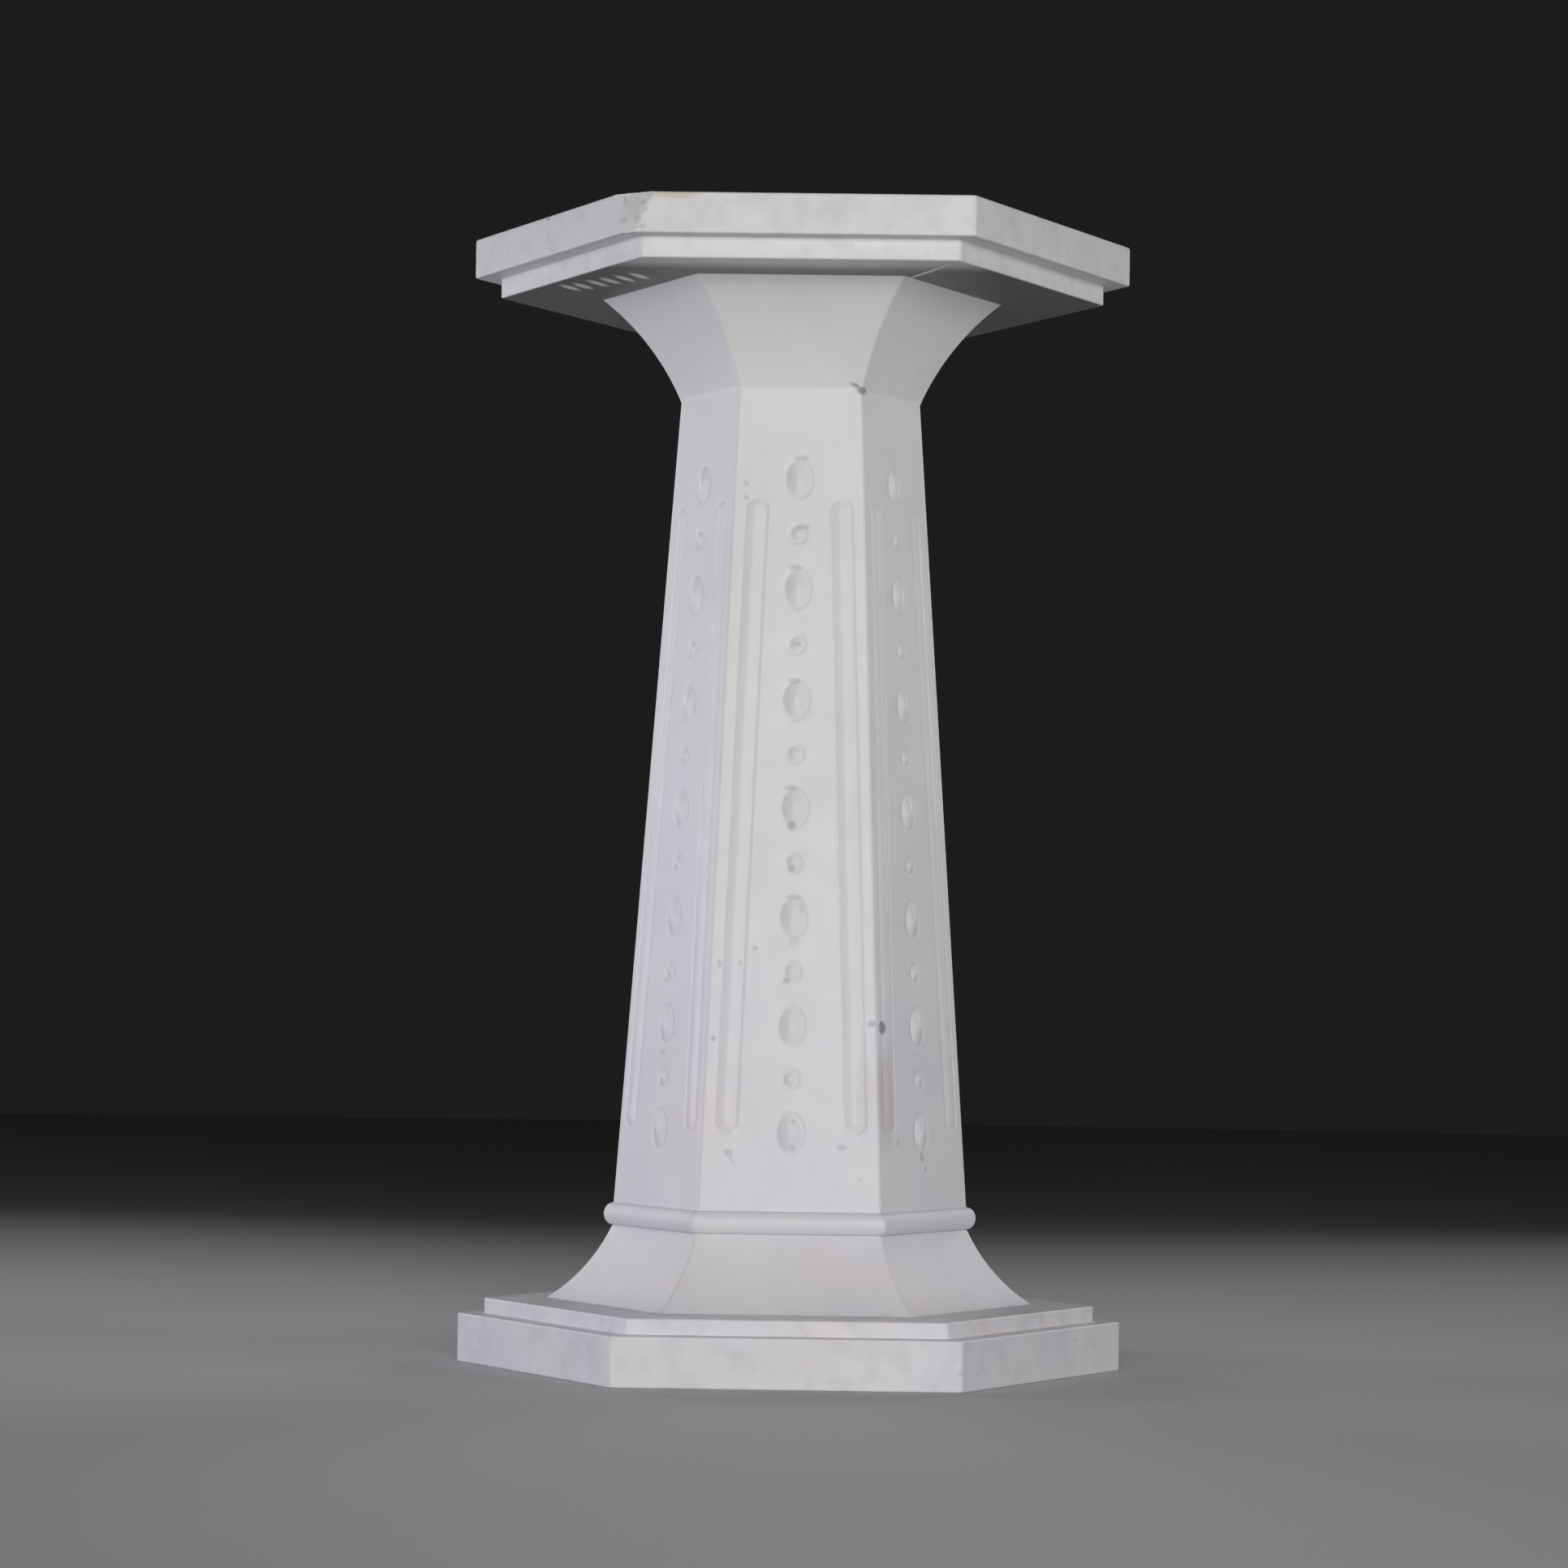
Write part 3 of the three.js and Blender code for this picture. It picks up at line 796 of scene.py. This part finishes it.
def nick_spots(shape, wear):
    """Small nicks spread round the edges of both slabs, clear of the chips and of the corners."""
    random = Random(NICK_SEED)
    side = TABLE_REACH / MILLIMETRE
    plinth_height = shape.outline.plinth_height
    edges = [height / MILLIMETRE for height in (COLUMN_HEIGHT, shape.table_bottom, plinth_height, 0)]
    size = wear.nick_size / MILLIMETRE
    for number in range(wear.nick_count):
        around = (number + random.uniform(*NICK_STRETCH)) / wear.nick_count * SIDES
        turns = int(around)
        across = (around - turns - 0.5) * side * NICK_SPREAD
        height = random.choice(edges)
        bulk = size * random.uniform(*NICK_SIZES) ** 2
        half = (bulk, bulk * random.uniform(*NICK_HEIGHTS), bulk * NICK_DEPTH)
        nick = Spot(SLAB, turns, across, height, half)
        clear = all(
            (nick.matrix(shape).translation - chip.matrix(shape).translation).length > NICK_CLEARANCE
            for chip in CHIPS)
        if clear:
            yield nick


def wear_down(column, shape, wear):
    """Break the table's corner, and chip the edges and faces."""
    cutters = [corner_cutter(shape, wear)]
    for seed, spot in enumerate((*CHIPS, *nick_spots(shape, wear))):
        cutter = lump([size * MILLIMETRE for size in spot.half], seed)
        cutter.matrix_world = spot.matrix(shape)
        settle(cutter)
        cutters.append(cutter)
    join(*cutters)
    cutter = cutters[0]
    take(column)
    bpy.ops.object.modifier_add(type="BOOLEAN")
    cut = column.modifiers[-1]
    cut.operation = "DIFFERENCE"
    cut.solver = "EXACT"
    cut.object = cutter
    bpy.ops.object.modifier_apply(modifier=cut.name)
    bpy.data.objects.remove(cutter)


def finish_surface(column):
    """Shade the stone smooth across its curves and flat across its faces."""
    take(column)
    bpy.ops.object.shade_smooth_by_angle(angle=SMOOTH_ANGLE)
    bpy.ops.object.modifier_add(type="WEIGHTED_NORMAL")
    weighted = column.modifiers[-1]
    weighted.keep_sharp = True
    bpy.ops.object.modifier_apply(modifier=weighted.name)


class Shade:
    """A value, place or colour in a material. Arithmetic with it adds Math nodes."""

    def __init__(self, tree, socket=None):
        self.tree, self.socket = tree, socket

    def node(self, kind, settings, values, output):
        """Add a node with its settings, then its sockets' values or links, and take one of its outputs."""
        made = self.tree.nodes.new(kind)
        for name, setting in settings.items():
            setattr(made, name, setting)
        sockets = {socket.identifier: socket for socket in made.inputs}
        for name, value in values.items():
            if isinstance(value, Shade):
                self.tree.links.new(value.socket, sockets[name])
            else:
                sockets[name].default_value = value
        return Shade(self.tree, next(socket for socket in made.outputs if socket.identifier == output))

    def maths(self, operation, first, second):
        """Arithmetic with two values."""
        settings = {"operation": operation}
        return self.node("ShaderNodeMath", settings, {"Value": first, "Value_001": second}, "Value")

    def __add__(self, other):
        return self.maths("ADD", self, other)

    def __sub__(self, other):
        return self.maths("SUBTRACT", self, other)

    def __rsub__(self, other):
        return self.maths("SUBTRACT", other, self)

    def __mul__(self, other):
        return self.maths("MULTIPLY", self, other)

    __radd__, __rmul__ = __add__, __mul__

    def greater(self, other):
        """The greater of two values."""
        return self.maths("MAXIMUM", self, other)

    def fade(self, start, end):
        """Smoothly from 0 where this value is at the start to 1 where it is at the end."""
        values = {"Value": self, "From Min": start, "From Max": end}
        return self.node("ShaderNodeMapRange", {"interpolation_type": "SMOOTHSTEP"}, values, "Result")

    def noise(self, size, detail=3.0, output="Fac"):
        """Noise at this place, with features of about the given size."""
        values = {"Vector": self, "Scale": 1 / size, "Detail": detail}
        return self.node("ShaderNodeTexNoise", {"noise_dimensions": "3D"}, values, output)

    def vector(self, operation, other, output="Vector"):
        """Vector arithmetic with another vector."""
        values = {"Vector": self, "Vector_001": other}
        return self.node("ShaderNodeVectorMath", {"operation": operation}, values, output)

    def along(self, axis):
        """How far along an axis this place lies."""
        return self.node("ShaderNodeSeparateXYZ", {}, {"Vector": self}, axis)

    def between(self, first, second):
        """The colour that lies this share of the way from one colour to another."""
        values = {"Factor_Float": self, "A_Color": first, "B_Color": second}
        return self.node("ShaderNodeMix", {"data_type": "RGBA"}, values, "Result_Color")


def spots_mask(place, spots, shape):
    """How strongly any of the spots covers a place."""
    total = 0
    for spot in spots:
        matrix = spot.matrix(shape)
        values = {
            "Vector": place,
            "Location": matrix.translation,
            "Rotation": matrix.to_euler(),
            "Scale": [size * MILLIMETRE for size in spot.half],
        }
        local = place.node("ShaderNodeMapping", {"vector_type": "TEXTURE"}, values, "Vector")
        cover = local.vector("LENGTH", (0, 0, 0), "Value").fade(SPOT_RIM, SPOT_CORE) * spot.strength
        total = cover.greater(total)
    return total


def shade_and_dust_under_table(place, shape, look):
    """Painted shade and dirt on the face under the table's step, ending before its front edge."""
    height, level = place.along("Z"), shape.cove_top
    skin = height.fade(level - SKIN, level) * height.fade(level + SKIN, level)
    return skin * (place.along("Y").fade(*UNDERSIDE_FADE_IN) * look.underside_shade_and_dirt)


def stone_colour(place, shape, look):
    """The colour of the clouded stone, with its casts, stains, dirt, painted shade and a painted highlight
    laid over it in turn.
    """
    height = place.along("Z")
    clouds = place.noise(look.cloud_size, detail=CLOUD_DETAIL).fade(*CLOUD_RANGE)
    low = height.fade(*LOW_HALF)
    rose = place.noise(look.tint_size).fade(*ROSE_RANGE) * low
    lilac = (1 - place.vector("ADD", LILAC_SHIFT).noise(look.tint_size).fade(*LILAC_RANGE)) * low
    slabs = height.fade(*LOWER_SLAB).greater(height.fade(*UPPER_SLAB))
    mottle = place.noise(look.mottle_size, detail=MOTTLE_DETAIL).fade(*MOTTLE_RANGE) * slabs
    depth = place.node("ShaderNodeAttribute", {"attribute_name": "depth"}, {}, "Fac")
    # Darker the deeper a hollow lies: dirt, and painted shade in the carving's hollows.
    grime_and_shade = depth.fade(*SHADE_AND_GRIME_DEPTHS) * place.noise(look.swell_size).fade(*GRIME_AND_SHADE_RANGE)

    shift = place.noise(SPOT_WANDER_SIZE, output="Color").vector("SUBTRACT", (0.5, 0.5, 0.5))
    ragged = shift.vector("MULTIPLY", (SPOT_WANDER,) * 3).vector("ADD", place)
    layers = (
        (look.rose, rose * look.tints),
        (look.lilac, lilac * look.tints),
        (look.lichen, spots_mask(ragged, LICHEN_SPOTS, shape)),
        (look.rust, spots_mask(ragged, RUST_SPOTS, shape)),
        (look.soot_and_shade, mottle * look.mottle),
        # Painted shade, with some dirt, under the table.
        (look.soot_and_shade, shade_and_dust_under_table(place, shape, look)),
        # Dirt and painted shade in the carving's hollows.
        (look.soot_and_shade, grime_and_shade * look.grime_and_shade),
        # Dark spots: dirt, and painted shade at the ends of the beads and flutes.
        (look.soot_and_shade, spots_mask(ragged, SHADE_AND_SOOT_SPOTS, shape) * SHADE_AND_SOOT_STRENGTH),
        # Pale marks under the table, and one painted highlight.
        (look.chalk_and_highlight, spots_mask(ragged, CHALK_AND_HIGHLIGHT_SPOTS, shape)),
    )
    colour = (clouds * look.clouds).between((*look.marble, 1), (*look.shade, 1))
    for tint, part in layers:
        colour = part.between(colour, (*tint, 1))
    return colour


def marble(shape, look):
    """The stone: white, hand rubbed and finely grained, with its old dirt and stains, and painted shade."""
    material = bpy.data.materials.new("weathered_marble")
    material.use_nodes = True
    tree = material.node_tree
    stone = tree.nodes["Principled BSDF"]
    place = Shade(tree).node("ShaderNodeTexCoord", {}, {}, "Object")
    tree.links.new(stone_colour(place, shape, look).socket, stone.inputs["Base Color"])

    uneven = place.noise(look.swell_size)
    roughness = uneven * ROUGHNESS_SWING + (look.roughness - ROUGHNESS_SWING / 2)
    tree.links.new(roughness.socket, stone.inputs["Roughness"])
    relief = uneven * look.swell_depth + place.noise(look.grain_size) * look.grain_depth
    bump = place.node("ShaderNodeBump", {}, {"Height": relief, "Strength": 1, "Distance": 1}, "Normal")
    tree.links.new(bump.socket, stone.inputs["Normal"])
    return material


class PEDESTAL_OT_carve(bpy.types.Operator):
    """Carve the pedestal from one block of marble, with its old damage and stains"""

    bl_idname = "pedestal.carve"
    bl_label = "Carve pedestal"

    def execute(self, context):
        scene = context.scene
        shape = Shape(scene.pedestal_outline, scene.pedestal_carving, scene.pedestal_counts)
        column = rough_column(shape)
        carve_shaft(column, shape)
        wear_down(column, shape, scene.pedestal_wear)
        finish_surface(column)
        column.data.materials.append(marble(shape, scene.pedestal_stone))
        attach(column, BODY)
        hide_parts(NODE)
        return {"FINISHED"}


def pale_floor(colour):
    """The floor's dull material, of one colour."""
    material = bpy.data.materials.new("pale_floor")
    material.use_nodes = True
    surface = material.node_tree.nodes["Principled BSDF"]
    surface.inputs["Base Color"].default_value = (*colour, 1)
    surface.inputs["Roughness"].default_value = FLOOR_ROUGHNESS
    return material


class Lamp(NamedTuple):
    """A lamp's name, its direction in degrees, and which settings hold its power and its colour.

    The azimuth is 0 on the camera's side and grows to the right.
    """

    name: str
    azimuth: float
    elevation: float
    power: str
    tint: str = ""

    def hang(self, settings):
        """Hang the lamp, large and soft, and aim it at the pedestal."""
        target = Vector((0, 0, settings.aim_height))
        turned = Matrix.Rotation(math.radians(self.azimuth), 3, "Z")
        raised = Matrix.Rotation(math.radians(-self.elevation), 3, "X")
        place = target + turned @ raised @ Vector((0, -settings.lamp_distance, 0))
        bpy.ops.object.light_add(
            type="AREA", location=place, rotation=(target - place).to_track_quat("-Z", "Y").to_euler())
        lamp = bpy.context.object
        lamp.name = self.name
        lamp.data.shape = "DISK"
        lamp.data.size = settings.lamp_size
        lamp.data.spread = settings.lamp_spread
        lamp.data.energy = getattr(settings, self.power)
        if self.tint:
            lamp.data.color = getattr(settings, self.tint)
        lamp.visible_camera = False


LAMPS = (
    Lamp("left_lamp", -100, 1, "left_power", "left_tint"),
    Lamp("front_lamp", 5, 4, "front_power"),
    Lamp("right_lamp", 70, 9, "right_power"),
    Lamp("back_left_lamp", -145, 9, "back_power"),
    Lamp("back_right_lamp", 145, 9, "back_power"),
    Lamp("top_lamp", 0, 82, "top_power"),
)


class PEDESTAL_OT_stage(bpy.types.Operator):
    """Set the floor, the lamps and the camera"""

    bl_idname = "pedestal.stage"
    bl_label = "Set stage"

    def execute(self, context):
        scene = context.scene
        settings = scene.pedestal_stage
        deselect()
        bpy.ops.mesh.primitive_circle_add(
            vertices=FLOOR_SIDES, radius=settings.floor_radius, fill_type="NGON", location=(0, 0, 0))
        floor = bpy.context.object
        floor.name = "studio_floor"
        floor.data.materials.append(pale_floor(settings.floor))
        for lamp in LAMPS:
            lamp.hang(settings)

        room = bpy.data.worlds.new("dim_room")
        room.use_nodes = True
        room.node_tree.nodes["Background"].inputs["Color"].default_value = (*settings.dusk, 1)
        scene.world = room
        scene.view_settings.view_transform = "Standard"

        bpy.ops.object.camera_add(location=settings.camera_place)
        camera = bpy.context.object
        turn = (Matrix.Rotation(settings.heading, 4, "Z")
                @ Matrix.Rotation(math.pi / 2 + settings.pitch, 4, "X")
                @ Matrix.Rotation(settings.roll, 4, "Z"))
        camera.rotation_euler = turn.to_euler()
        camera.data.lens = settings.lens
        scene.camera = camera
        return {"FINISHED"}


class PEDESTAL_PT_panel(bpy.types.Panel):
    """The pedestal's sizes, colours and steps"""

    bl_idname = "PEDESTAL_PT_panel"
    bl_label = "Pedestal"
    bl_space_type = "VIEW_3D"
    bl_region_type = "UI"
    bl_category = "Pedestal"

    def draw(self, context):
        layout = self.layout
        for operator in (PEDESTAL_OT_carve, PEDESTAL_OT_stage):
            layout.operator(operator.bl_idname)
        for name, group in GROUPS.items():
            box = layout.box()
            for key in group.__annotations__:
                box.prop(getattr(context.scene, name), key)


GROUPS = {
    "pedestal_outline": OutlineSizes,
    "pedestal_carving": CarvingSizes,
    "pedestal_wear": WearSizes,
    "pedestal_stone": StoneLook,
    "pedestal_stage": StageSettings,
    "pedestal_counts": SmoothnessCounts,
}
CLASSES = (*GROUPS.values(), PEDESTAL_OT_carve, PEDESTAL_OT_stage, PEDESTAL_PT_panel)


def register():
    for cls in CLASSES:
        bpy.utils.register_class(cls)
    for name, group in GROUPS.items():
        setattr(bpy.types.Scene, name, PointerProperty(type=group))


def unregister():
    for name in GROUPS:
        delattr(bpy.types.Scene, name)
    for cls in reversed(CLASSES):
        bpy.utils.unregister_class(cls)


def main():
    register()
    bpy.ops.pedestal.carve()
    bpy.ops.pedestal.stage()


if __name__ == "__main__":
    main()
